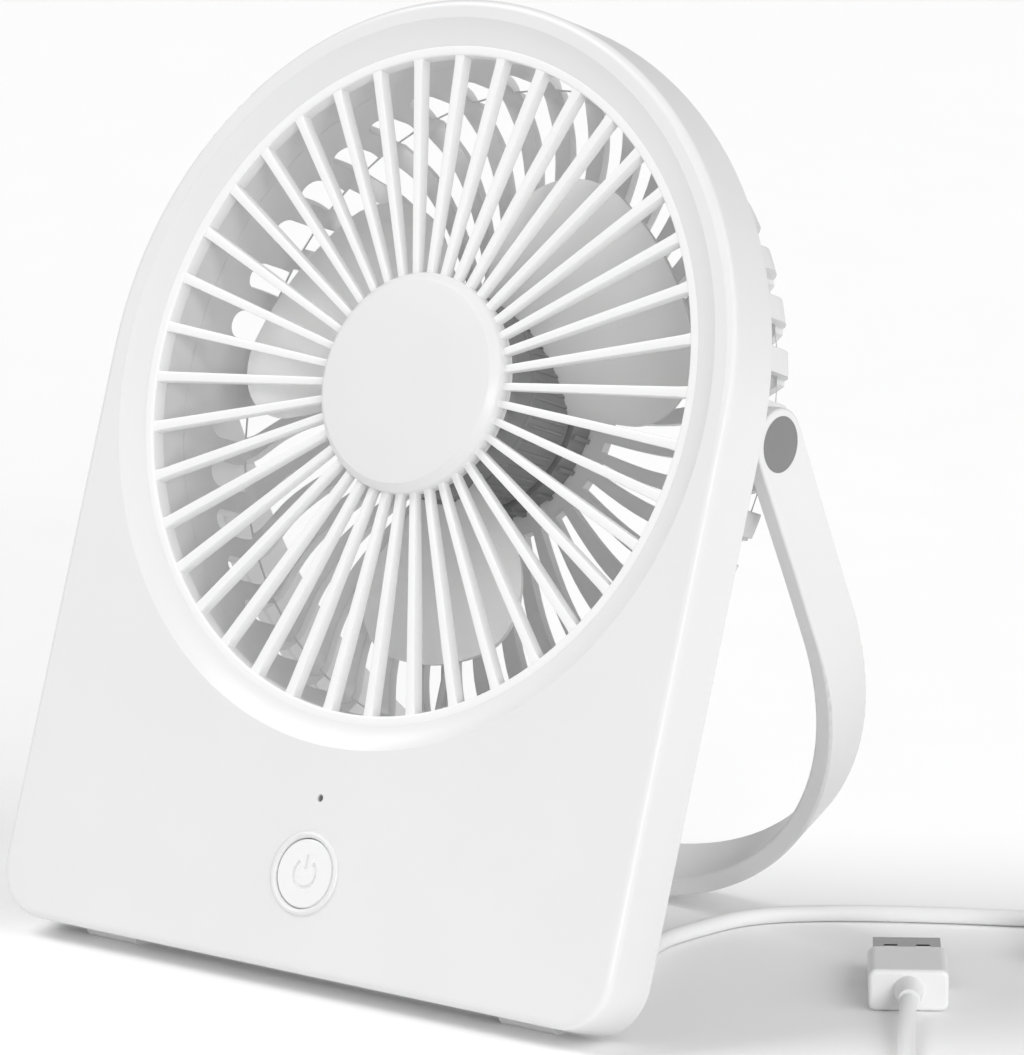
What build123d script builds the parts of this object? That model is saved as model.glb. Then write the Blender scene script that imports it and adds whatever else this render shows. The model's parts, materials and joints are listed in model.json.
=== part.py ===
from build123d import *
import math
import os

os.makedirs("parts", exist_ok=True)

# ---------------------------------------------------------------- dimensions, mm
LEAN = 18.84            # the body leans back this many degrees on its stand
HALF_W = 70.0           # half of the body's width, and the radius of its arch
ARCH_Y = -0.5           # arch centre, measured from the middle of the round opening
BASE_Y = -106.05        # bottom edge of the body
CORNER_R = 10.0         # bottom corners
BODY_T = 11.9           # depth of the side wall
WALL = 1.9              # casing wall
EDGE_R = 1.5            # rounded front edge

OPEN_R = 61.25          # hole that the front grille sits in
COVE_R = 66.0           # where the concave cove leaves the front face
BARS = 40               # radial bars of the front grille
BAR_W = 1.5
BAR_PHASE = 4.82        # degrees, first bar
BAR_IN, BAR_OUT = 18.6, 60.0
HUB_R = 19.9            # round cap in the middle of the grille
HUB_FLAT_R = 18.3

DRUM_R = 62.3           # rear drum
DRUM_IN = 60.4
DRUM_D = 31.4           # its back face, behind the front face
DRUM_EDGE = 5.0
SLOTS = 40              # curved slots of the rear guard
SLOT_IN, SLOT_OUT = 23.5, 60.5
SLOT_SWIRL = 9.6       # degrees that a slot turns on its way out
SLOT_PHASE = 0.0
WALL_SLOT_D = 20.0      # the slots wrap over the edge down to this depth

PIVOT_D = 18.7          # stand's pivot axis, behind the front face
STAND_OUT = 68.9        # stand: half width over its arms, and its bend radius
STAND_T_TOP, STAND_T_BOT = 3.2, 3.7
STAND_STRAIGHT = 37.8   # straight arm below the pivot
STAND_W = 12.0          # band width
STAND_END_R = 6.35
STAND_OPEN = 44.76      # opening angle of the stand as it stands

BLADES = 3
BLADE_R = 48.0
BLADE_SPAN = 75.0       # degrees
BLADE_T = 1.6
BLADE_D_LOW, BLADE_D_HIGH = 23.6, 9.0
FAN_HUB_R = 19.0
SHAFT_R = 1.0
BEARING_BORE = 1.03

BUTTON_Y = -88.6
BUTTON_R = 6.2
BUTTON_HOLE = 6.3
BUTTON_TRAVEL = 0.6
LED_Y = -75.1

CORD_D = 3.0
FLOOR = 104.50          # floor below the opening's middle, in the standing frame
SHIFT_Y = -18.0         # moves the footprint's middle to the origin

# ---------------------------------------------------------------- helpers
# The body is drawn flat: x to the right, y up along the body, z out of its front face.


def P(x, y, z=0.0):
    return Pos(x, y, z)


def cyl(r, z0, z1, x=0.0, y=0.0):
    return Pos(x, y, (z0 + z1) / 2) * Cylinder(r, abs(z1 - z0))


def tube(ro, ri, z0, z1, x=0.0, y=0.0):
    return cyl(ro, z0, z1, x, y) - cyl(ri, min(z0, z1) - 1, max(z0, z1) + 1, x, y)


def block(x0, x1, y0, y1, z0, z1):
    return Pos((x0 + x1) / 2, (y0 + y1) / 2, (z0 + z1) / 2) * Box(abs(x1 - x0), abs(y1 - y0), abs(z1 - z0))


def d_face(o=0.0):
    w = HALF_W - o
    yb = BASE_Y + o
    r = max(CORNER_R - o, 1.0)
    k = r * (1 - math.sqrt(0.5))
    edges = [
        ThreePointArc((-w, ARCH_Y), (0, ARCH_Y + w), (w, ARCH_Y)),
        Line((w, ARCH_Y), (w, yb + r)),
        ThreePointArc((w, yb + r), (w - k, yb + k), (w - r, yb)),
        Line((w - r, yb), (-w + r, yb)),
        ThreePointArc((-w + r, yb), (-w + k, yb + k), (-w, yb + r)),
        Line((-w, yb + r), (-w, ARCH_Y)),
    ]
    return make_face(Curve() + edges)


def d_prism(o, z0, z1):
    return extrude(Pos(0, 0, min(z0, z1)) * d_face(o), abs(z1 - z0))


def turned(points_or_edges):
    """Solid of revolution about the fan axis from a closed outline in (radius, z)."""
    face = make_face(Plane.XZ * (Curve() + points_or_edges))
    return revolve(face, Axis.Z, 360)


def poly(pts):
    return [Line(a, b) for a, b in zip(pts, pts[1:] + pts[:1])]


def one(shape):
    """The shape as a plain compound or solid of its solids."""
    s = shape.solids()
    return s[0] if len(s) == 1 else Compound(children=list(s))


PLACE = Pos(0, SHIFT_Y, FLOOR) * Rot(90 - LEAN, 0, 0)
parts = {}


def keep(name, shape, placed=False):
    s = shape if placed else PLACE * shape
    solids = s.solids()
    s = solids[0] if len(solids) == 1 else Compound(children=list(solids))
    parts[name] = s
    export_step(s, "parts/" + name + ".step")


# ---------------------------------------------------------------- front cover
SCREWS = [(-55.5, -96.5), (55.5, -96.5), (-61.0, -57.5), (61.0, -57.5)]
shell = d_prism(0, -BODY_T, 0)
shell = fillet(shell.faces().sort_by(Axis.Z)[-1].edges(), EDGE_R)
shell = fillet(shell.faces().sort_by(Axis.Z)[0].edges(), 0.4)
shell -= d_prism(WALL, -BODY_T - 1, -2.0)
shell += tube(67.4, OPEN_R + 0.5, -3.8, -1.9)
cove = turned([
    Line((0, 2), (COVE_R, 2)), Line((COVE_R, 2), (COVE_R, 0)),
    ThreePointArc((COVE_R, 0), (63.1, -1.45), (OPEN_R, -1.85)),
    Line((OPEN_R, -1.85), (OPEN_R, -5)), Line((OPEN_R, -5), (0, -5)), Line((0, -5), (0, 2)),
])
shell -= cove
bead = Pos(0, BUTTON_Y, 0) * turned([
    ThreePointArc((6.38, -0.3), (6.95, 0.5), (7.5, -0.3)), Line((7.5, -0.3), (6.38, -0.3))])
shell += bead
shell -= cyl(BUTTON_HOLE, -5, 2, 0, BUTTON_Y)
shell -= cyl(0.65, -5, 2, 0, LED_Y)
for sx, sy in SCREWS:
    shell += cyl(3.0, -8.2, -1.9, sx, sy)
    shell -= cyl(1.15, -8.3, -2.9, sx, sy)
FOOT_Y, FOOT_Z, FOOT_R = -105.0, -10.0, 2.15
foot = Pos(0, FOOT_Y, FOOT_Z) * Rot(0, 90, 0) * Cylinder(FOOT_R, 12)
foot = foot & block(-20, 20, FOOT_Y - 5, FOOT_Y, -11.7, 0)
foot -= PLACE.inverse() * block(-60, 60, -80, 0, -20, 0)      # worn flat where it stands
foot_l, foot_r = Pos(-48, 0, 0) * foot, Pos(48, 0, 0) * foot
shell -= foot_l
shell -= foot_r
keep("front_cover", shell)
keep("feet", Compound(children=[foot_l.solid(), foot_r.solid()]))

# ---------------------------------------------------------------- front grille and hub cap
grille = turned([
    Line((59.5, -2.3), (59.5, -4.9)), Line((59.5, -4.9), (61.15, -4.9)), Line((61.15, -4.9), (61.15, -1.9)),
    Line((61.15, -1.9), (59.9, -1.9)), ThreePointArc((59.9, -1.9), (59.62, -2.02), (59.5, -2.3)),
])
grille += tube(19.5, 3.02, -5.2, -3.65)
bar_len = BAR_OUT - BAR_IN
bar = Pos((BAR_IN + BAR_OUT) / 2, 0, -3.35) * Box(bar_len, BAR_W, 2.5)
bar = fillet(bar.edges().filter_by(Axis.X).group_by(Axis.Z)[-1], 0.45)
grille += [Rot(0, 0, BAR_PHASE + 360 / BARS * k) * bar for k in range(BARS)]
grille -= cyl(HUB_R + 0.03, -3.63, 1)
keep("front_grille", grille)

cap = turned([
    Line((0, 0.5), (HUB_FLAT_R, 0.5)), ThreePointArc((HUB_FLAT_R, 0.5), (19.35, 0.05), (HUB_R, -1.0)),
    Line((HUB_R, -1.0), (HUB_R, -3.6)), Line((HUB_R, -3.6), (18.4, -3.6)), Line((18.4, -3.6), (18.4, -1.1)),
    Line((18.4, -1.1), (3.0, -1.1)), Line((3.0, -1.1), (3.0, -5.0)), Line((3.0, -5.0), (0, -5.0)), Line((0, -5.0), (0, 0.5)),
])
keep("hub_cap", cap)

# ---------------------------------------------------------------- rear cover: plate and duct collar
GROMMET_X, GROMMET_Y = 43.0, -97.5
back = d_prism(WALL + 0.12, -BODY_T, -10.1)
back += tube(62.0, DRUM_IN, -10.2, -5.1)
back -= cyl(DRUM_IN, -15, -3)
for sx, sy in SCREWS:
    back += cyl(4.3, -10.2, -8.3, sx, sy) & d_prism(WALL + 0.12, -11, -8)
    back -= cyl(2.75, -12.5, -10.2, sx, sy)
    back -= cyl(1.65, -12.5, -8, sx, sy)
back -= block(-2.0, 2.0, -63, -58, -9.2, -4)          # notch for the motor's wires
back -= cyl(2.7, -13, -8, GROMMET_X, GROMMET_Y)
keep("rear_cover", back)

screws = []
for sx, sy in SCREWS:
    s = cyl(2.6, -11.75, -10.25, sx, sy) + cyl(1.15, -10.3, -3.6, sx, sy)
    s -= block(sx - 1.5, sx + 1.5, sy - 0.25, sy + 0.25, -12.5, -11.1)
    s -= block(sx - 0.25, sx + 0.25, sy - 1.5, sy + 1.5, -12.5, -11.1)
    screws.append(s.solid())
keep("cover_screws", Compound(children=screws))

# ---------------------------------------------------------------- rear guard: drum, pivot bosses, curved slots
guard = turned([
    Line((DRUM_R, -BODY_T - 0.02), (DRUM_R, -DRUM_D + DRUM_EDGE)),
    ThreePointArc((DRUM_R, -DRUM_D + DRUM_EDGE),
                  (DRUM_R - DRUM_EDGE * (1 - math.sqrt(0.5)), -DRUM_D + DRUM_EDGE * (1 - math.sqrt(0.5))),
                  (DRUM_R - DRUM_EDGE, -DRUM_D)),
    Line((DRUM_R - DRUM_EDGE, -DRUM_D), (0, -DRUM_D)),
    Line((0, -DRUM_D), (0, -DRUM_D + 1.9)),
    Line((0, -DRUM_D + 1.9), (DRUM_R - DRUM_EDGE, -DRUM_D + 1.9)),
    ThreePointArc((DRUM_R - DRUM_EDGE, -DRUM_D + 1.9),
                  (DRUM_R - DRUM_EDGE + 3.1 * math.sqrt(0.5), -DRUM_D + 1.9 + 3.1 * (1 - math.sqrt(0.5))),
                  (DRUM_IN, -DRUM_D + DRUM_EDGE)),
    Line((DRUM_IN, -DRUM_D + DRUM_EDGE), (DRUM_IN, -BODY_T - 0.02)),
    Line((DRUM_IN, -BODY_T - 0.02), (DRUM_R, -BODY_T - 0.02)),
])


def slot_centre(r):
    t = (r - SLOT_IN) / (SLOT_OUT - SLOT_IN)
    return SLOT_PHASE + SLOT_SWIRL * t ** 2.4


def slot_width(r):
    t = (r - SLOT_IN) / (SLOT_OUT - SLOT_IN)
    return 1.9 + 3.3 * t


radii = [23.5, 31.0, 38.0, 45.0, 52.0, 58.0, 65.5]
left, right = [], []
for r in radii:
    half = math.degrees(slot_width(min(r, 60.5)) / 2 / r)
    a = math.radians(slot_centre(min(r, 60.5)) + half)
    b = math.radians(slot_centre(min(r, 60.5)) - half)
    left.append((r * math.cos(a), r * math.sin(a)))
    right.append((r * math.cos(b), r * math.sin(b)))
slot = extrude(Pos(0, 0, -33) * make_face(Curve() + [
    Spline(left), Line(left[-1], right[-1]), Spline(right[::-1]), Line(right[0], left[0])]), 4.2)
rim_angle = slot_centre(SLOT_OUT)
wall_slot = Pos(62.5, 0, -27.75) * Box(6.0, 5.2, 10.5) + Pos(62.5, 0, -22.5) * Rot(0, 90, 0) * Cylinder(2.6, 6.0)
wall_slot = wall_slot & cyl(66, -33, -WALL_SLOT_D + 0.3)
wall_slot = Rot(0, 0, rim_angle) * wall_slot
cuts = []
for k in range(SLOTS):
    a = 360 / SLOTS * k
    cuts.append(Rot(0, 0, a) * slot)
    side = (rim_angle + a + 90) % 180 - 90
    if abs(side) > 8.2:
        cuts.append(Rot(0, 0, a) * wall_slot)
guard -= cuts
for s in (-1, 1):
    boss = Pos(s * 62.9, 0, -PIVOT_D) * Rot(0, 90, 0) * Cylinder(6.2, 4.8)
    boss -= cyl(DRUM_IN + 0.4, -40, 0)
    guard += boss
    guard -= Pos(s * 64.2, 0, -PIVOT_D) * Rot(0, 90, 0) * Cylinder(2.5, 6.2)
for k in range(3):
    a = math.radians(90 + 120 * k)
    guard -= cyl(1.0, -33, -28, 13 * math.cos(a), 13 * math.sin(a))
    guard -= cyl(2.1, -33, -30.3, 13 * math.cos(a), 13 * math.sin(a))
keep("rear_guard", guard)

# ---------------------------------------------------------------- motor, fixed side
base = cyl(19.6, -29.45, -26.9) + tube(19.6, 17.8, -27.0, -24.7) + tube(6.4, 4.5, -27.0, -21.2)
rib = block(19.3, 20.3, -0.4, 0.4, -29.45, -24.9)
base += [Rot(0, 0, 9 * k) * rib for k in range(40)]
base -= cyl(4.5, -28.0, -20)
for k in range(3):
    a = math.radians(90 + 120 * k)
    base -= cyl(1.0, -30, -26, 13 * math.cos(a), 13 * math.sin(a))
keep("motor_base", base)
mscrews = []
for k in range(3):
    a = math.radians(90 + 120 * k)
    x, y = 13 * math.cos(a), 13 * math.sin(a)
    m = cyl(2.0, -31.25, -30.3, x, y) + cyl(1.0, -30.4, -26.4, x, y)
    m -= block(x - 1.2, x + 1.2, y - 0.2, y + 0.2, -32, -30.8)
    m -= block(x - 0.2, x + 0.2, y - 1.2, y + 1.2, -32, -30.8)
    mscrews.append(m.solid())
keep("motor_screws", Compound(children=mscrews))
keep("bearing_tube", tube(4.5, 3.0, -28.0, -11.6))
keep("bearings", Compound(children=[tube(3.0, BEARING_BORE, -15.0, -12.0).solid(), tube(3.0, BEARING_BORE, -25.0, -22.0).solid()]))
core = tube(7.4, 4.5, -17.4, -11.4)
for k in range(9):
    pole = block(7.2, 13.0, -1.1, 1.1, -17.4, -11.4)
    shoe = tube(14.1, 12.6, -17.4, -11.4) & block(10, 15, -4.1, 4.1, -18, -11)
    core += Rot(0, 0, 40 * k) * pole
    core += Rot(0, 0, 40 * k) * shoe
keep("stator_core", core)
coil = block(7.9, 12.1, -2.25, 2.25, -18.4, -10.4) - block(7, 13, -1.15, 1.15, -17.45, -11.35)
coil = fillet(coil.edges().filter_by(Axis.X).filter_by_position(Axis.Y, -2.3, -2.2) + coil.edges().filter_by(Axis.X).filter_by_position(Axis.Y, 2.2, 2.3), 0.8)
keep("stator_coils", Compound(children=[(Rot(0, 0, 40 * k) * coil).solid() for k in range(9)]))
keep("motor_board", tube(14.5, 4.55, -21.15, -20.0))

# ---------------------------------------------------------------- rotor: impeller, bell, magnet, shaft
hub = turned([
    Line((0, -6.0), (17.0, -6.0)), ThreePointArc((17.0, -6.0), (18.41, -6.59), (FAN_HUB_R, -8.0)),
    Line((FAN_HUB_R, -8.0), (FAN_HUB_R, -24.1)), Line((FAN_HUB_R, -24.1), (17.55, -24.1)),
    Line((17.55, -24.1), (17.55, -7.45)), Line((17.55, -7.45), (1.0, -7.45)), Line((1.0, -7.45), (1.0, -7.0)), Line((1.0, -7.0), (0, -7.0)), Line((0, -7.0), (0, -6.0)),
])
mid = (BLADE_D_LOW + BLADE_D_HIGH) / 2
rate = (BLADE_D_LOW - BLADE_D_HIGH) / math.radians(BLADE_SPAN)


def blade_section(x0):
    tmax = x0 * math.tan(math.radians(BLADE_SPAN / 2 + 2))
    front, rear = [], []
    for i in range(7):
        t = -tmax + 2 * tmax * i / 6
        z = -(mid - rate * math.atan2(t, x0))
        front.append((x0, t, z + BLADE_T / 2))
        rear.append((x0, t, z - BLADE_T / 2))
    return make_face(Curve() + [Spline(front), Line(front[-1], rear[-1]), Spline(rear[::-1]), Line(rear[0], front[0])])


blade = loft([blade_section(x0) for x0 in (12.0, 22.0, 34.0, 49.0)])
h = math.radians(BLADE_SPAN / 2)
outline = make_face(Curve() + [
    Line((0, 0), (BLADE_R * math.cos(-h), BLADE_R * math.sin(-h))),
    ThreePointArc((BLADE_R * math.cos(-h), BLADE_R * math.sin(-h)), (BLADE_R, 0), (BLADE_R * math.cos(h), BLADE_R * math.sin(h))),
    Line((BLADE_R * math.cos(h), BLADE_R * math.sin(h)), (0, 0))])
petal = extrude(Pos(0, 0, -30) * outline, 30)
far = petal.edges().filter_by(Axis.Z).filter_by_position(Axis.X, 20, 60)
petal = fillet(far, 13.0)
blade = (blade & petal) - cyl(18.2, -40, 0)
hub += [Rot(0, 0, 37.5 + 360 / BLADES * k) * blade for k in range(BLADES)]
keep("impeller", hub)
bell = turned(poly([(1.0, -7.5), (17.5, -7.5), (17.5, -19.4), (16.35, -19.4), (16.35, -8.6), (3.2, -8.6), (3.2, -10.6), (1.0, -10.6)]))
keep("rotor_bell", bell)
keep("rotor_magnet", tube(16.35, 14.6, -18.6, -9.6))
keep("motor_shaft", cyl(SHAFT_R, -26.4, -7.5))
keep("shaft_clip", tube(2.3, SHAFT_R, -25.9, -25.3))

# ---------------------------------------------------------------- controls
button = cyl(BUTTON_R, -2.25, 0.05, 0, BUTTON_Y) + cyl(7.0, -3.1, -2.15, 0, BUTTON_Y) + cyl(1.5, -4.1, -3.0, 0, BUTTON_Y)
button = fillet(button.edges().filter_by(GeomType.CIRCLE).filter_by_position(Axis.Z, 0.0, 0.1), 0.4)
a0, a1 = math.radians(90 + 38), math.radians(90 + 322)
ring_cut = tube(2.75, 2.15, -0.2, 1.0)
gap = extrude(Pos(0, 0, -1) * make_face(Curve() + poly([(0, 0), (-2.8, 3.6), (2.8, 3.6)])), 3)
mark = (ring_cut - gap) + block(-0.3, 0.3, 0.9, 3.3, -0.2, 1.0)
button -= Pos(0, BUTTON_Y, 0) * mark
keep("power_button", button)
keep("tact_switch", block(-3, 3, BUTTON_Y - 3, BUTTON_Y + 3, -6.2, -5.0) + cyl(1.7, -5.05, -4.8, 0, BUTTON_Y))
board = block(-24, 28, -100, -71.5, -7.4, -6.2)
keep("main_board", board)
keep("indicator_led", block(-1.0, 1.0, LED_Y - 0.7, LED_Y + 0.7, -6.2, -5.45))
keep("light_pipe", cyl(0.6, -5.4, -0.5, 0, LED_Y) + cyl(1.7, -2.8, -2.05, 0, LED_Y))
comps = [block(8, 13, -96, -91, -6.2, -4.9), block(12, 16, -86, -82, -6.2, -3.9), block(-14, -10, -92, -89, -6.2, -5.4),
         block(-16, -12, -83, -79, -6.2, -4.2), block(18, 20, -88, -86.4, -6.2, -5.5), block(-8, -5, -78, -76, -6.2, -5.2)]
keep("board_components", Compound(children=[c.solid() for c in comps]))
plugs = [block(20, 26, -97.5, -92.5, -6.2, -3.4), block(-3.5, 3.5, -100.0, -97.0, -9.6, -7.4)]
keep("wire_sockets", Compound(children=[c.solid() for c in plugs]))


def pipe(points, radii, r):
    path = FilletPolyline(*points, radius=radii) if isinstance(radii, (int, float)) else FilletPolyline(points, radius=radii)
    start = Plane(origin=path @ 0, z_dir=path % 0)
    return sweep(start * Circle(r), path=path), path


lead, _ = pipe([(0, -21.2, -27.9), (0, -58.6, -27.9), (0, -58.6, -8.3), (0, -67.5, -8.3), (0, -96.9, -8.5)], [2.2, 2.2, 8.0], 0.7)
lead -= cyl(20.9, -29, -26)
keep("motor_wires", lead)
supply, _ = pipe([(GROMMET_X, GROMMET_Y, -8.7), (GROMMET_X, GROMMET_Y, -4.9), (26.15, -95.0, -4.9)], [2.4], 0.9)
keep("supply_wires", supply)

# ---------------------------------------------------------------- cord outlet
G_END = -22.0
g = Pos(GROMMET_X, GROMMET_Y, 0) * turned([
    Line((0, -8.7), (3.4, -8.7)), Line((3.4, -8.7), (3.4, -10.05)), Line((3.4, -10.05), (2.65, -10.05)), Line((2.65, -10.05), (2.65, -12.0)),
    Line((2.65, -12.0), (3.2, -12.0)), Line((3.2, -12.0), (3.2, -12.9)), Line((3.2, -12.9), (2.5, -13.3)), Line((2.5, -13.3), (1.9, G_END)), Line((1.9, G_END), (0, G_END)), Line((0, G_END), (0, -8.7)),
])
for k in range(3):
    z = -14.6 - 2.2 * k
    g -= (tube(4, 1.75, z - 0.5, z + 0.5, GROMMET_X, GROMMET_Y) - block(GROMMET_X - 0.5, GROMMET_X + 0.5, -110, -80, -30, 0))
keep("cord_grommet", g)

# ---------------------------------------------------------------- stand and its pivots
top_t, bot_t = STAND_T_TOP, STAND_T_BOT
ro = STAND_OUT
ri = STAND_OUT - top_t
L = STAND_STRAIGHT + STAND_OUT
ci = L - bot_t - ri
u_face = make_face(Curve() + [
    Line((-ro, 0), (-ro, -STAND_STRAIGHT)), ThreePointArc((-ro, -STAND_STRAIGHT), (0, -L), (ro, -STAND_STRAIGHT)),
    Line((ro, -STAND_STRAIGHT), (ro, 0)), Line((ro, 0), (ri, 0)), Line((ri, 0), (ri, -ci)),
    ThreePointArc((ri, -ci), (0, -L + bot_t), (-ri, -ci)), Line((-ri, -ci), (-ri, 0)), Line((-ri, 0), (-ro, 0))])
stand = extrude(Pos(0, 0, -STAND_W / 2) * u_face, STAND_W)
for s in (-1, 1):
    disc = Pos(s * (ro + ri) / 2, 0, 0) * Rot(0, 90, 0) * Cylinder(STAND_END_R, top_t)
    taper = make_face(Plane.YZ * (Curve() + poly([(0, -STAND_END_R), (0, STAND_END_R), (-24, STAND_W / 2), (-24, -STAND_W / 2)])))
    taper = extrude(taper, top_t)
    taper = Pos(ri if s > 0 else -ro, 0, 0) * taper
    stand += disc
    stand += taper
long_edges = stand.edges().filter_by(lambda e: e.length > 60)
try:
    stand = fillet(long_edges, 0.5)
except Exception as err:
    print("stand fillet left out:", err)
for s in (-1, 1):
    stand -= Pos(s * 67, 0, 0) * Rot(0, 90, 0) * Cylinder(2.58, 8)
    stand -= Pos(s * (67.4 + 5), 0, 0) * Rot(0, 90, 0) * Cylinder(4.95, 10)
AT_PIVOT = Pos(0, 0, -PIVOT_D) * Rot(STAND_OPEN, 0, 0)
keep("stand", AT_PIVOT * stand)
caps, pins, washers = [], [], []
for s in (-1, 1):
    c = Pos(s * 68.55, 0, 0) * Rot(0, 90, 0) * Cylinder(4.95, 0.7)
    caps.append((AT_PIVOT * c).solid())
    p = Pos(s * 64.4, 0, -PIVOT_D) * Rot(0, 90, 0) * Cylinder(2.5, 6.4) + Pos(s * 67.8, 0, -PIVOT_D) * Rot(0, 90, 0) * Cylinder(4.0, 0.6)
    pins.append(p.solid())
    w = Pos(s * 65.5, 0, -PIVOT_D) * Rot(0, 90, 0) * (Cylinder(5.8, 0.36) - Cylinder(2.55, 1))
    washers.append(w.solid())
keep("pivot_caps", Compound(children=caps))
keep("pivot_pins", Compound(children=pins))
keep("pivot_washers", Compound(children=washers))

# ---------------------------------------------------------------- cord, coil and plug, in the standing frame (floor at z = 0)
CR = CORD_D / 2
start = PLACE * Pos(GROMMET_X, GROMMET_Y, G_END)
P0 = start.position
ZF = 1.55
# Each point as (x, y, z); the first run leaves the grommet along its axis.
ROUTE_A = [
    (43.0, -28.66, 5.13), (43.0, -18.3, 1.6), (42.6, -6, ZF), (40.7, 5.5, ZF), (38.7, 17, ZF), (39.6, 29.5, ZF),
    (44.2, 43, ZF), (54.6, 55.4, ZF), (68.6, 63.4, ZF), (84.2, 72.9, ZF), (98.2, 81.3, ZF + 0.6),
]
print("cord start", tuple(round(v, 3) for v in P0), "first point", ROUTE_A[0])
COIL_X, COIL_Y = 110.8, 63.7
ROUTE_B = [
    (132.0, 59.2, 5.2), (129.3, 46.0, 4.2), (128.6, 32.5, 1.9), (130.9, 18.5, ZF), (136.2, 4.8, ZF), (142.6, -9.5, ZF),
    (147.4, -26.0, ZF), (136.5, -38.6, ZF), (121.6, -36.6, ZF), (112.6, -22.6, ZF), (103.6, -10.2, ZF + 0.6), (96.12, 1.2, 3.6),
]


def route_radii(pts):
    out = []
    for a, b, c in zip(pts, pts[1:], pts[2:]):
        u, v = Vector(*b) - Vector(*a), Vector(*c) - Vector(*b)
        turn = u.get_angle(v)
        out.append(0.45 * min(u.length, v.length) / math.tan(math.radians(turn / 2)))
    return out


def cord(pts):
    rr = route_radii(pts)
    path = FilletPolyline(*pts, radius=rr)
    s = sweep(Plane(origin=path @ 0, z_dir=path % 0) * Circle(CR), path=path)
    print("cord radii", [round(v, 1) for v in rr], "length", round(path.length, 1),
          "volume ratio", round(s.volume / (math.pi * CR ** 2 * path.length), 4), "lowest", round(s.bounding_box().min.Z, 3))
    return s.solid()


ta, tb = cord(ROUTE_A), cord(ROUTE_B)
keep("usb_cord", Compound(children=[ta, tb]), placed=True)
ring = Pos(COIL_X, COIL_Y, 3.75) * (Cylinder(23.3, 6.3) - Cylinder(10.7, 20))
ring = fillet(ring.edges().filter_by(GeomType.CIRCLE), 2.6)
keep("cord_coil", ring, placed=True)
TIE_A = 215.0
tie = (Cylinder(24.0, 7.5) - Cylinder(10.0, 20)) - (Cylinder(23.4, 6.4) - Cylinder(10.6, 20))
tie = Pos(COIL_X, COIL_Y, 3.78) * Rot(0, 0, TIE_A) * (tie & (Pos(17, 0, 0) * Box(16, 6.0, 12)))
keep("coil_tie", tie, placed=True)

# The plug lies flat on the floor; its own frame has y from the cord to the tip.
PLUG_X, PLUG_Y, PLUG_YAW, PLUG_H = 95.94, 1.6, 36.0, 3.75
plug_at = Pos(PLUG_X, PLUG_Y, PLUG_H) * Rot(0, 0, PLUG_YAW)
relief = plug_at * Pos(0, 3.0, 0) * Rot(-90, 0, 0) * Cone(1.9, 2.7, 6.0)
keep("plug_relief", relief, placed=True)
body = Pos(0, 14.0, 0) * Box(14.0, 16.0, 7.4)
body = fillet(body.edges().filter_by(Axis.Y), 1.4)
body = fillet(body.faces().sort_by(Axis.Y)[0].edges(), 0.8)
body -= Pos(0, 18.5, 0) * Box(12.0, 8.0, 4.5)
keep("plug_body", plug_at * body, placed=True)
sh = Pos(0, 24.2, 0) * (Box(12.0, 19.4, 4.5) - Box(11.36, 30, 3.86))
for x in (-2.85, 2.85):
    sh -= Pos(x, 28.0, 1.6) * Box(2.4, 2.2, 3.0)
    sh -= Pos(x, 28.0, -1.6) * Box(2.4, 2.2, 3.0)
keep("plug_shell", plug_at * sh, placed=True)
tongue = Pos(0, 24.0, -0.98) * Box(11.34, 18.9, 1.88) + Pos(0, 16.2, 0) * Box(11.34, 3.3, 3.84)
pads = [Pos(x, 29.4, 0.06) * Box(1.1, 6.6, 0.2) for x in (-3.5, -1.1, 1.1, 3.5)]
for pd in pads:
    tongue -= pd
keep("plug_tongue", plug_at * tongue, placed=True)
keep("plug_contacts", Compound(children=[(plug_at * pd).solid() for pd in pads]), placed=True)

# ---------------------------------------------------------------- printed checks
cords = {"usb_cord", "cord_coil", "coil_tie", "plug_relief", "plug_body", "plug_shell", "plug_tongue", "plug_contacts"}
lo, hi = [1e9] * 3, [-1e9] * 3
for n, s in parts.items():
    if n in cords:
        continue
    b = s.bounding_box()
    for i, (p, q) in enumerate(zip(tuple(b.min), tuple(b.max))):
        lo[i], hi[i] = min(lo[i], p), max(hi[i], q)
print("object box", [round(v, 3) for v in lo], [round(v, 3) for v in hi], "middle y", round((lo[1] + hi[1]) / 2, 3))
for n in ("feet", "stand", "front_cover", "rear_cover", "rear_guard"):
    print(n, "lowest", round(parts[n].bounding_box().min.Z, 3))
piv = PLACE * Pos(0, 0, -PIVOT_D)
print("pivot at", tuple(round(v, 4) for v in piv.position), "fan centre", tuple(round(v, 4) for v in (PLACE * Pos(0, 0, 0)).position))
print("axis out of the front", (0, -round(math.cos(math.radians(LEAN)), 6), round(math.sin(math.radians(LEAN)), 6)))
print(len(parts), "nodes")
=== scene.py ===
import json
import math

import bpy
import numpy as np
from mathutils import Matrix, Vector


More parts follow.
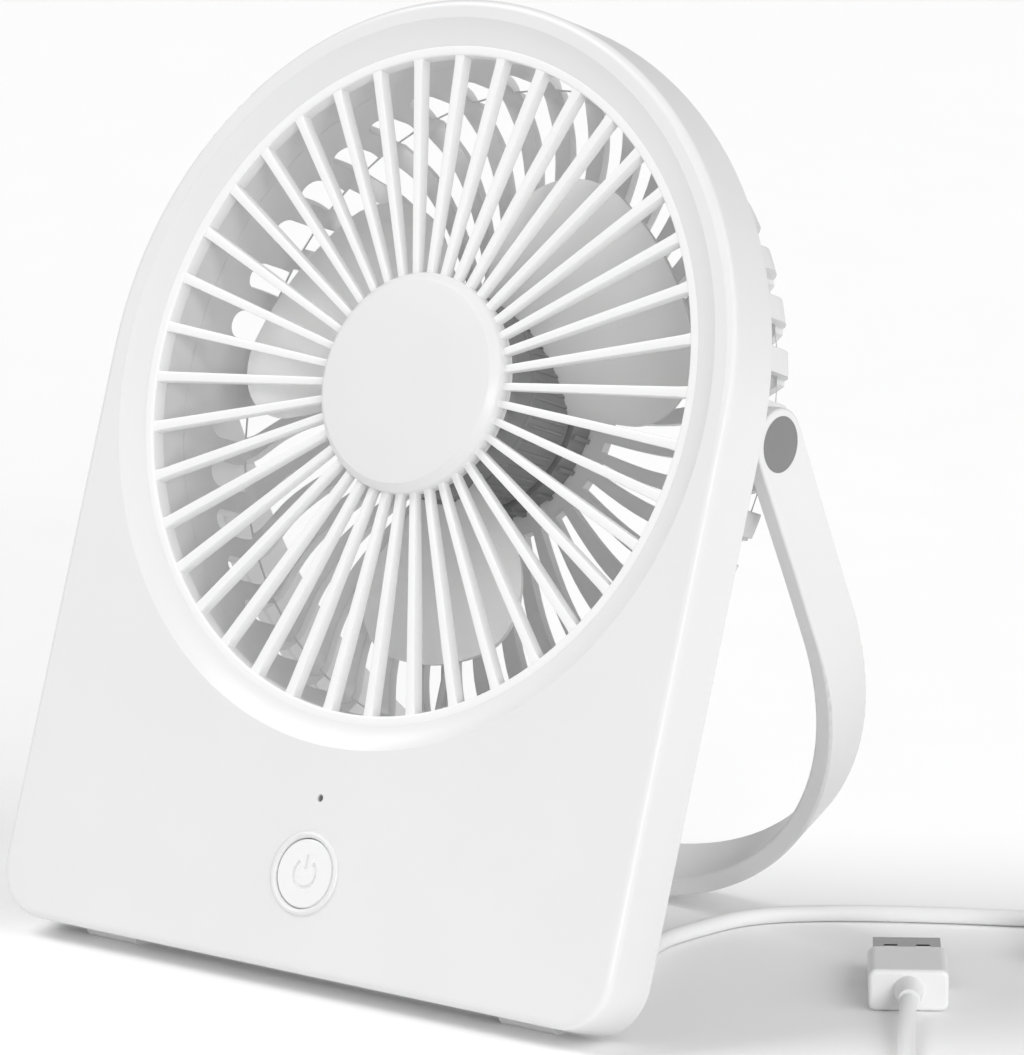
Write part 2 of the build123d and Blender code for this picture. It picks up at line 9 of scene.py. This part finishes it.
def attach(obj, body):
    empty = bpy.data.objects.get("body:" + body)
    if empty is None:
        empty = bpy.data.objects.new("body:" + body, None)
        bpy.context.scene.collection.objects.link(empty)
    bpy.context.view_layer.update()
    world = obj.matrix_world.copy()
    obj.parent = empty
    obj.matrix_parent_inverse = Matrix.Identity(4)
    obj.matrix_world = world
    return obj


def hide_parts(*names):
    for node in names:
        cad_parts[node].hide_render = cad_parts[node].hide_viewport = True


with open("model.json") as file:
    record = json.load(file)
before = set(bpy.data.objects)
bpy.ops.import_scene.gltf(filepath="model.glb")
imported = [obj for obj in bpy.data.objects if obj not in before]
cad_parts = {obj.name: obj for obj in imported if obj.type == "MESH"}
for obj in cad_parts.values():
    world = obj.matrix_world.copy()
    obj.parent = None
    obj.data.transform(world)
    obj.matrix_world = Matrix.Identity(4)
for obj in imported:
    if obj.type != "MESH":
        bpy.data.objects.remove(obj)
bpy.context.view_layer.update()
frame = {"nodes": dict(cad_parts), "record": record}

S = bpy.context.scene
NODES = frame["nodes"]

# ------------------------------------------------------------------ the body's own frame: x right, y up the body, z out of its front
LEAN = 18.84
PLACE = Matrix.Translation((0, -0.018, 0.1045)) @ Matrix.Rotation(math.radians(90 - LEAN), 4, "X")
PIVOT_D = 18.7
STAND_OPEN = 44.76
PLACE_STAND = PLACE @ Matrix.Translation((0, 0, -PIVOT_D / 1000)) @ Matrix.Rotation(math.radians(STAND_OPEN), 4, "X")


# ------------------------------------------------------------------ materials
def tree(name):
    m = bpy.data.materials.new(name)
    m.use_nodes = True
    nt = m.node_tree
    for n in list(nt.nodes):
        nt.nodes.remove(n)
    out = nt.nodes.new("ShaderNodeOutputMaterial")
    b = nt.nodes.new("ShaderNodeBsdfPrincipled")
    nt.links.new(b.outputs[0], out.inputs[0])
    return m, nt, b


def coords(nt, scale=(1, 1, 1)):
    tc = nt.nodes.new("ShaderNodeTexCoord")
    mp = nt.nodes.new("ShaderNodeMapping")
    mp.inputs["Scale"].default_value = scale
    nt.links.new(tc.outputs["Object"], mp.inputs["Vector"])
    return mp.outputs[0]


def noise(nt, vec, scale, detail=3.0, rough=0.5):
    n = nt.nodes.new("ShaderNodeTexNoise")
    n.inputs["Scale"].default_value = scale
    n.inputs["Detail"].default_value = detail
    n.inputs["Roughness"].default_value = rough
    nt.links.new(vec, n.inputs["Vector"])
    return n.outputs["Fac"]


def ramp(nt, fac, stops):
    r = nt.nodes.new("ShaderNodeValToRGB")
    el = r.color_ramp.elements
    while len(el) < len(stops):
        el.new(0.5)
    for e, (p, c) in zip(el, stops):
        e.position = p
        e.color = (c[0], c[1], c[2], 1) if isinstance(c, (tuple, list)) else (c, c, c, 1)
    nt.links.new(fac, r.inputs["Fac"])
    return r.outputs["Color"]


def bump(nt, b, height, strength, dist, normal=None):
    n = nt.nodes.new("ShaderNodeBump")
    n.inputs["Strength"].default_value = strength
    n.inputs["Distance"].default_value = dist
    nt.links.new(height, n.inputs["Height"])
    if normal is not None:
        nt.links.new(normal, n.inputs["Normal"])
    nt.links.new(n.outputs[0], b.inputs["Normal"])
    return n.outputs[0]


def soft_edges(nt, radius):
    n = nt.nodes.new("ShaderNodeBevel")
    n.samples = 4
    n.inputs["Radius"].default_value = radius
    return n.outputs[0]


def shade(c, k):
    return tuple(min(1.0, v * k) for v in c)


def plastic(name, color, rough=0.42, spread=0.06, tint=0.012, grain=2600.0, depth=0.000012, strength=0.22, coat=0.0, edge=0.0, sub=0.0, ior=1.46):
    """Moulded plastic: a fine spark-eroded grain, slow changes of tone, and gloss that varies where it was handled."""
    m, nt, b = tree(name)
    v = coords(nt)
    slow = noise(nt, v, 28.0, 4.0, 0.55)
    c = ramp(nt, slow, [(0.3, shade(color, 1 - tint)), (0.7, shade(color, 1 + tint))])
    nt.links.new(c, b.inputs["Base Color"])
    fine = noise(nt, v, grain, 2.0, 0.6)
    mid = noise(nt, v, 140.0, 5.0, 0.6)
    r = ramp(nt, mid, [(0.32, rough - spread), (0.68, rough + spread)])
    nt.links.new(r, b.inputs["Roughness"])
    bump(nt, b, fine, strength, depth, soft_edges(nt, edge) if edge else None)
    b.inputs["IOR"].default_value = ior
    if coat:
        b.inputs["Coat Weight"].default_value = coat
        b.inputs["Coat Roughness"].default_value = 0.12
    if sub:
        b.inputs["Subsurface Weight"].default_value = sub
        b.inputs["Subsurface Radius"].default_value = (0.002, 0.0018, 0.0016)
        b.inputs["Subsurface Scale"].default_value = 0.5
    return m


def metal(name, color, rough=0.28, spread=0.08, brush=(1, 1, 1), scale=900.0, strength=0.12, depth=0.00001, dark=0.82):
    """Worked metal: fine brushed lines along one way, and patches that are duller."""
    m, nt, b = tree(name)
    v = coords(nt, brush)
    lines = noise(nt, v, scale, 3.0, 0.6)
    blot = noise(nt, coords(nt), 160.0, 4.0, 0.6)
    c = ramp(nt, blot, [(0.3, shade(color, dark)), (0.65, color)])
    nt.links.new(c, b.inputs["Base Color"])
    r = ramp(nt, lines, [(0.3, rough - spread), (0.7, rough + spread)])
    nt.links.new(r, b.inputs["Roughness"])
    b.inputs["Metallic"].default_value = 1.0
    bump(nt, b, lines, strength, depth)
    return m


def layered(name, a, c2, axis_scale, rough, metallic=0.0, strength=0.4):
    """Layers or windings: bands of two tones across one way."""
    m, nt, b = tree(name)
    w = nt.nodes.new("ShaderNodeTexWave")
    w.inputs["Scale"].default_value = 1.0
    w.inputs["Distortion"].default_value = 0.6
    w.inputs["Detail"].default_value = 1.0
    w.bands_direction = "DIAGONAL"
    nt.links.new(coords(nt, axis_scale), w.inputs["Vector"])
    c = ramp(nt, w.outputs["Fac"], [(0.25, a), (0.75, c2)])
    nt.links.new(c, b.inputs["Base Color"])
    r = ramp(nt, noise(nt, coords(nt), 700.0), [(0.3, rough - 0.08), (0.7, rough + 0.08)])
    nt.links.new(r, b.inputs["Roughness"])
    b.inputs["Metallic"].default_value = metallic
    bump(nt, b, w.outputs["Fac"], strength, 0.00008)
    return m


WHITE = (0.736, 0.736, 0.736)
MATS = {
    "white_plastic": plastic("abs_white", WHITE, 0.40, 0.05, coat=0.12, edge=0.00022),
    "white_grille": plastic("abs_white_grille", (0.83, 0.83, 0.83), 0.36, 0.05, coat=0.15, edge=0.00006),
    "white_blade": plastic("pp_white_blade", (0.76, 0.76, 0.76), 0.38, 0.06, sub=0.15),
    "white_button": plastic("abs_white_button", (0.81, 0.81, 0.81), 0.30, 0.04, coat=0.25),
    "grey_cap": plastic("abs_grey_cap", (0.205, 0.205, 0.208), 0.45, 0.07, 0.06, edge=0.00015),
    # Grey hub and motor base: partly the parts' own mid-grey and partly painted shade. The base colour is darkened to
    # stand in for the shade that falls deep inside the duct.
    "grey_base": plastic("grey_plastic_with_painted_shade", (0.25, 0.25, 0.252), 0.42, 0.06, 0.03, edge=0.00012),
    "rubber_foot": plastic("rubber_foot", (0.78, 0.78, 0.78), 0.75, 0.08, 0.05, 1500.0, 0.00003, 0.5),
    "steel": metal("steel_turned", (0.60, 0.60, 0.62), 0.25, 0.07, (1, 1, 6)),
    "bearing_bronze": plastic("bronze_sintered", (0.50, 0.34, 0.17), 0.5, 0.1, 0.12, 5200.0, 0.00004, 0.6),
    "brass": metal("brass_turned", (0.72, 0.54, 0.26), 0.22, 0.06, (1, 1, 8)),
    "lamination": layered("steel_laminations", (0.20, 0.20, 0.21), (0.42, 0.42, 0.44), (900, 900, 900), 0.4, 0.9),
    "copper_winding": layered("copper_winding", (0.30, 0.10, 0.03), (0.75, 0.34, 0.12), (1600, 1600, 1600), 0.3, 0.8),
    "magnet": plastic("ferrite_magnet", (0.06, 0.06, 0.065), 0.6, 0.1, 0.2, 1800.0, 0.00004, 0.5),
    "green_board": plastic("board_green", (0.02, 0.17, 0.06), 0.32, 0.05, 0.12, 900.0, 0.00002, 0.3, coat=0.4),
    "black_component": plastic("moulded_black", (0.025, 0.025, 0.026), 0.5, 0.08, 0.2, 2400.0),
    "led_body": plastic("led_epoxy", (0.88, 0.84, 0.58), 0.25, 0.04, 0.05, coat=0.3),
    "nylon": plastic("nylon_natural", (0.72, 0.70, 0.62), 0.42, 0.06, 0.03, sub=0.2),
    "wire_white": plastic("wire_white", (0.72, 0.72, 0.72), 0.45, 0.06, 0.03),
    "wire_black": plastic("wire_black", (0.72, 0.72, 0.72), 0.45, 0.06, 0.03),
    "cord_white": plastic("cord_tpe_white", (0.83, 0.83, 0.83), 0.46, 0.06, 0.015, 1500.0, 0.00003, 0.3, sub=0.15),
    "plug_white": plastic("plug_tpe_white", (0.83, 0.83, 0.83), 0.42, 0.05, 0.012, 2200.0, 0.00002, 0.3, sub=0.1),
    "plug_metal": metal("nickel_plated", (0.83, 0.83, 0.84), 0.16, 0.05, (1, 1, 1), 1400.0, 0.06, 0.000006, 0.93),
    "gold": metal("gold_plated", (0.83, 0.62, 0.25), 0.2, 0.05, (1, 1, 1), 2500.0),
}
pm, nt, b = tree("clear_acrylic")
b.inputs["Transmission Weight"].default_value = 0.25
b.inputs["IOR"].default_value = 1.49
cc = ramp(nt, noise(nt, coords(nt), 900.0), [(0.3, (0.20, 0.20, 0.205)), (0.7, (0.26, 0.26, 0.265))])
nt.links.new(cc, b.inputs["Base Color"])
rr = ramp(nt, noise(nt, coords(nt), 1500.0), [(0.3, 0.04), (0.7, 0.14)])
nt.links.new(rr, b.inputs["Roughness"])
MATS["clear_pipe"] = pm
MATS["tie"] = plastic("tie_silicone", (0.74, 0.74, 0.735), 0.6, 0.07, 0.04, 1800.0, 0.00003, 0.4)
# Painted shade for recesses: a dark grey put where shade falls, not the colour of a real part.
MATS["recess_dark"] = plastic("painted_shade_dark_grey", (0.16, 0.16, 0.165), 0.6, 0.06, 0.05)

for part in frame["record"]["subparts"]:
    o = NODES[part["node"]]
    m = MATS["tie" if part["node"] == "coil_tie" else part["material_slot"]]
    o.data.materials.clear()
    o.data.materials.append(m)


# ------------------------------------------------------------------ mesh helpers, millimetres in, metres out
def mesh(name, verts, faces, slot, body, at=PLACE, stands_for=(), sharp=35.0, mats=None, face_mats=None):
    me = bpy.data.meshes.new(name)
    v = np.asarray(verts, float) / 1000.0
    me.from_pydata([tuple(p) for p in v], [], [tuple(int(i) for i in f) for f in faces])
    me.transform(at)
    me.validate()
    me.update()
    o = bpy.data.objects.new(name, me)
    S.collection.objects.link(o)
    for s in (mats or [slot]):
        me.materials.append(MATS[s])
    if face_mats is not None:
        me.polygons.foreach_set("material_index", face_mats)
    me.polygons.foreach_set("use_smooth", [True] * len(me.polygons))
    me.set_sharp_from_angle(angle=math.radians(sharp))
    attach(o, body)
    if stands_for:
        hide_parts(*stands_for)
    return o


class Build:
    """Collects grids and caps as one closed mesh."""

    def __init__(self):
        self.v, self.f, self.n = [], [], 0

    def add(self, verts, faces):
        verts = np.asarray(verts, float)
        self.v.append(verts)
        self.f += [tuple(i + self.n for i in f) for f in faces]
        self.n += len(verts)

    def grid(self, g, close_u=False, close_v=False, flip=False, caps=False):
        """g is (rows, columns, 3). Rows joined in order; caps closes the first and last row."""
        g = np.asarray(g, float)
        r, c = g.shape[:2]
        faces = []
        for i in range(r if close_u else r - 1):
            for j in range(c if close_v else c - 1):
                q = (i * c + j, i * c + (j + 1) % c, ((i + 1) % r) * c + (j + 1) % c, ((i + 1) % r) * c + j)
                faces.append(q[::-1] if flip else q)
        if caps:
            a, z = tuple(range(c)), tuple((r - 1) * c + j for j in range(c))
            faces.append(a if flip else a[::-1])
            faces.append(z[::-1] if flip else z)
        self.add(g.reshape(-1, 3), faces)

    def lathe(self, profile, segments=160, closed=False, centre=(0, 0)):
        """profile is (radius, z) pairs, turned about z. A radius of 0 at an end closes it."""
        pr = list(profile)
        ang = np.linspace(0, 2 * math.pi, segments, endpoint=False)
        rows, tips = [], []
        for k, (r, z) in enumerate(pr):
            if r < 1e-6:
                tips.append((k, z))
                continue
            rows.append(np.stack([centre[0] + r * np.cos(ang), centre[1] + r * np.sin(ang), np.full(segments, z)], 1))
        base = self.n
        self.grid(np.array(rows), close_u=closed, close_v=True)
        for k, z in tips:
            self.add([(centre[0], centre[1], z)], [])
            row = 0 if k == 0 else len(rows) - 1
            for j in range(segments):
                a, b2 = base + row * segments + j, base + row * segments + (j + 1) % segments
                self.f.append((self.n - 1, b2, a) if k == 0 else (self.n - 1, a, b2))

    def make(self, name, slot, body, **kw):
        import bmesh
        v = np.concatenate(self.v)
        o = mesh(name, v, self.f, slot, body, **kw)
        bm = bmesh.new()
        bm.from_mesh(o.data)
        bmesh.ops.recalc_face_normals(bm, faces=bm.faces)
        bm.to_mesh(o.data)
        bm.free()
        o.data.set_sharp_from_angle(angle=math.radians(kw.get("sharp", 35.0)))
        return o


def arc(cx, cz, r, a0, a1, n):
    return [(cx + r * math.cos(math.radians(a)), cz + r * math.sin(math.radians(a))) for a in np.linspace(a0, a1, n)]


# ------------------------------------------------------------------ cord: one line out of the casing, round the coil and into the plug
ZF = 1.55
ROUTE_A = [
    (43.0, -28.66, 5.13), (43.0, -18.3, 1.6), (41.6, -6, ZF), (36.8, 3.7, ZF), (33.0, 13.1, ZF), (33.2, 23.8, ZF),
    (34.9, 37.4, ZF), (44.7, 48.4, ZF), (62.1, 60.2, ZF), (82.7, 71.3, ZF), (98.2, 81.3, ZF + 0.6),
]
ROUTE_B = [
    (132.0, 59.2, 5.2), (129.3, 46.0, 4.2), (128.6, 32.5, 1.9), (130.9, 18.5, ZF), (136.2, 4.8, ZF), (142.6, -9.5, ZF),
    (147.4, -26.0, ZF), (136.5, -38.6, ZF), (121.6, -36.6, ZF), (112.6, -22.6, ZF), (103.6, -10.2, ZF + 0.6), (96.12, 1.2, 3.6),
]
COIL_X, COIL_Y = 110.8, 63.7


def coil_points():
    """Four turns in on the lower layer, four and a bit out on the upper one, laid side by side."""
    per, pts = 15, []
    start, sweep = 125.6, 137.7 + 360 * 8
    columns = [21.65, 18.55, 15.45, 12.35, 12.35, 15.45, 18.55, 21.65, 21.65]
    step = 360 / per
    k = 1
    while k * step < sweep - 8:
        a = k * step
        turn = a / 360.0
        i = int(turn)
        w = turn - i
        ease = min(1.0, max(0.0, (w - 0.80) / 0.2))
        ease = ease * ease * (3 - 2 * ease)
        r = columns[i] + (columns[min(i + 1, 8)] - columns[i]) * ease
        level = min(1.0, max(0.0, (turn - 3.72) / 0.28))
        level = level * level * (3 - 2 * level)
        z = 2.15 + 3.05 * level
        ang = math.radians(start - a)
        r /= 0.978
        pts.append((COIL_X + r * math.cos(ang), COIL_Y + r * math.sin(ang), z))
        k += 1
    return pts


pts = ROUTE_A + coil_points() + ROUTE_B
cu = bpy.data.curves.new("cord", "CURVE")
cu.dimensions = "3D"
sp = cu.splines.new("NURBS")
sp.points.add(len(pts) - 1)
for p, q in zip(sp.points, pts):
    p.co = (q[0] / 1000, q[1] / 1000, q[2] / 1000, 1)
sp.order_u = 3
sp.use_endpoint_u = True
sp.resolution_u = 8
cu.bevel_depth = 0.0015
cu.bevel_resolution = 8
cu.use_fill_caps = True
cord = bpy.data.objects.new("cord", cu)
S.collection.objects.link(cord)
cu.materials.append(MATS["cord_white"])
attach(cord, "housing")
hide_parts("usb_cord", "cord_coil")

# ------------------------------------------------------------------ camera and light
O = Vector((0, -0.018, 0.1045))
cam_data = bpy.data.cameras.new("camera")
cam_data.lens = 215.98
cam_data.sensor_width = 36
cam_data.sensor_fit = "AUTO"
cam_data.clip_end = 30
cam = bpy.data.objects.new("camera", cam_data)
S.collection.objects.link(cam)
right = Vector((0.7807, 0.6249, 0.0)).normalized()
view = Vector((-0.6133, 0.7661, -0.1923)).normalized()
up = right.cross(view)
cam.matrix_world = Matrix((
    (right[0], up[0], -view[0], 0.7030), (right[1], up[1], -view[1], -0.8665), (right[2], up[2], -view[2], 0.2941), (0, 0, 0, 1)))
S.camera = cam

fm, nt, b = tree("floor_white")
v = coords(nt)
nt.links.new(ramp(nt, noise(nt, v, 3.0, 2.0), [(0.3, 0.962), (0.7, 0.97)]), b.inputs["Base Color"])
nt.links.new(ramp(nt, noise(nt, v, 40.0, 3.0), [(0.3, 0.70), (0.7, 0.80)]), b.inputs["Roughness"])
b.inputs["Specular IOR Level"].default_value = 0.2
bpy.ops.mesh.primitive_grid_add(x_subdivisions=8, y_subdivisions=8, size=14, location=(0, 0, 0))
floor = bpy.context.object
floor.name = "floor"
floor.data.materials.append(fm)

world = bpy.data.worlds.new("studio")
S.world = world
world.use_nodes = True
bg = world.node_tree.nodes["Background"]
bg.inputs[0].default_value = (1, 1, 1, 1)
bg.inputs[1].default_value = 0.352


def sun(name, source, angle, power):
    """A broad, even light from the direction of source, as a large softbox far off gives."""
    d = bpy.data.lights.new(name, "SUN")
    d.angle, d.energy = math.radians(angle), power
    o = bpy.data.objects.new(name, d)
    S.collection.objects.link(o)
    o.rotation_euler = (-Vector(source)).to_track_quat("-Z", "Y").to_euler()
    return o


sun("key_left", (-0.9, -0.5, 1.3), 36, 1.68)
sun("fill_right", (1.4, 0.05, 0.98), 50, 1.06)
sun("front", (0.5, -1.6, 0.62), 55, 0.08)
sun("edge", (0.79, -0.58, 0.22), 22, 1.05)
S.view_settings.view_transform = "Standard"
S.view_settings.look = "None"
S.view_settings.exposure = 0.0

# ------------------------------------------------------------------ front grille: a ring and forty round-nosed bars
BARS, BAR_PHASE = 40, 4.82
g = Build()
ring = [(59.5, -4.9), (59.5, -2.35)] + arc(59.95, -2.25, 0.45, 180, 95, 7) + [(61.0, -1.80), (61.3, -1.86), (61.3, -4.9)]
g.lathe(ring, 240, closed=True)
g.lathe([(3.02, -3.66), (19.2, -3.66)] + arc(19.2, -3.96, 0.3, 90, 0, 4) + [(19.5, -5.0), (19.3, -5.2), (3.02, -5.2)], 160, closed=True)


def bar_section(w, top, low):
    """Flat in front with crisp, barely broken edges, and a little draft down to the back."""
    h = w / 2
    nose = [(h, top - 0.24), (h * 0.9, top - 0.06), (h * 0.72, top), (-h * 0.72, top), (-h * 0.9, top - 0.06), (-h, top - 0.24)]
    return nose + [(-h * 0.88, low + 0.12), (-h * 0.76, low), (h * 0.76, low), (h * 0.88, low + 0.12)]


for k in range(BARS):
    a = math.radians(BAR_PHASE + 360 / BARS * k)
    c, s_ = math.cos(a), math.sin(a)
    rows = []
    for r in (19.15, 19.9, 22.0, 28.0, 36.0, 44.0, 52.0, 57.6, 58.8, 59.7):
        t = (r - 19.15) / 40.5
        w = 1.36 + 0.52 * t + (0.30 * max(0.0, (r - 57.6) / 2.1) ** 2 if r > 57.6 else 0.0)
        low = -3.95 - 0.67 * min(1.0, 1.6 * t)
        top = -2.0 if r > 19.5 else -2.6
        rows.append([(r * c - y * s_, r * s_ + y * c, z) for y, z in bar_section(w, top, low)])
    g.grid(rows, close_v=True, caps=True)
g.make("grille", "white_grille", "housing", stands_for=("front_grille",), sharp=30.0)

# ------------------------------------------------------------------ hub cap: a flat disc, a crisp turned edge and a plain side
g = Build()
g.lathe([(0, 0.5), (9.0, 0.5), (18.25, 0.5), (18.4, 0.47), (18.5, 0.4), (19.62, -0.68), (19.8, -0.9), (19.9, -1.2), (19.9, -3.6), (18.4, -3.6), (18.4, -1.1), (3.0, -1.1), (3.0, -5.0), (0, -5.0)], 200)
g.make("cap", "white_plastic", "housing", stands_for=("hub_cap",), sharp=22.0)

# ------------------------------------------------------------------ impeller: three broad blades on a ribbed hub
BLADES, BLADE_R, HALF, CORNER = 3, 48.0, 37.5, 13.0
g = Build()
mid_d, per_deg = (23.6 + 9.0) / 2, (23.6 - 9.0) / 75.0


def tip(theta):
    rc = BLADE_R - CORNER
    lim = HALF - math.degrees(math.asin(CORNER / rc))
    d = abs(theta) - lim
    if d <= 0:
        return BLADE_R
    d = math.radians(d)
    return rc * math.cos(d) + math.sqrt(max(0.0, CORNER ** 2 - (rc * math.sin(d)) ** 2))


NT, NR = 44, 22
thetas = HALF * np.sin(np.linspace(-math.pi / 2, math.pi / 2, NT))
rad = 1 - (1 - np.linspace(0, 1, NR)) ** 1.6
for k in range(BLADES):
    up_, lo_ = [], []
    for v in rad:
        for t in thetas:
            r = 18.3 + v * (tip(t) - 18.3)
            x = t / HALF
            edge = min(1.0, (1 - abs(x)) / 0.10) * 0.5 + 0.5
            rim = min(1.0, (1 - v) / 0.08) * 0.5 + 0.5
            thick = (0.55 + 1.15 * (1 - x * x) ** 0.6) * math.sqrt(edge * rim) * (1.25 - 0.35 * v)
            z = -(mid_d - per_deg * t) - 1.1 * (1 - x * x) * (0.35 + 0.65 * v) + 0.9 * max(0.0, v - 0.55) ** 1.5
            a = math.radians(37.5 + 120 * k + t)
            p = (r * math.cos(a), r * math.sin(a))
            up_.append((p[0], p[1], z + thick / 2))
            lo_.append((p[0], p[1], z - thick / 2))
    n = NT * NR
    q = []
    for i in range(NR - 1):
        for j in range(NT - 1):
            a_, b_, c_, d_ = i * NT + j, i * NT + j + 1, (i + 1) * NT + j + 1, (i + 1) * NT + j
            q += [(a_, d_, c_, b_), (a_ + n, b_ + n, c_ + n, d_ + n)]
        for j in (0, NT - 1):
            a_, d_ = i * NT + j, (i + 1) * NT + j
            q.append((a_, a_ + n, d_ + n, d_))
    for i in (0, NR - 1):
        for j in range(NT - 1):
            a_, b_ = i * NT + j, i * NT + j + 1
            q.append((a_, b_, b_ + n, a_ + n))
    g.add(up_ + lo_, q)
g.make("blades", "white_blade", "impeller", stands_for=("impeller",), sharp=50.0)
# The ribbed hub band takes the grey_base material, whose dark grey is partly painted shade for the inside of the duct
# and partly the part's own grey.
g = Build()
g.lathe([(0, -6.0), (10, -6.02), (16.0, -6.12)] + arc(16.98, -8.1, 2.0, 88, 0, 9) + [(18.98, -11.4), (18.7, -11.6), (18.7, -12.0), (18.98, -12.2), (18.98, -23.7), (18.8, -24.05), (17.6, -24.05), (17.6, -7.45), (0, -7.45)], 160)
for k in range(72):
    a = math.radians(5 * k)
    c, s_ = math.cos(a), math.sin(a)
    rows = []
    for z in (-12.6, -13.0, -22.6, -23.0):
        e = 0.0 if z in (-12.6, -23.0) else 0.26
        rows.append([(x * c - y * s_, x * s_ + y * c, z) for x, y in ((18.7, -0.3), (18.98 + e, -0.22), (18.98 + e, 0.22), (18.7, 0.3))])
    g.grid(rows, close_v=True, caps=True)
g.make("hub_band", "grey_base", "impeller", sharp=30.0)
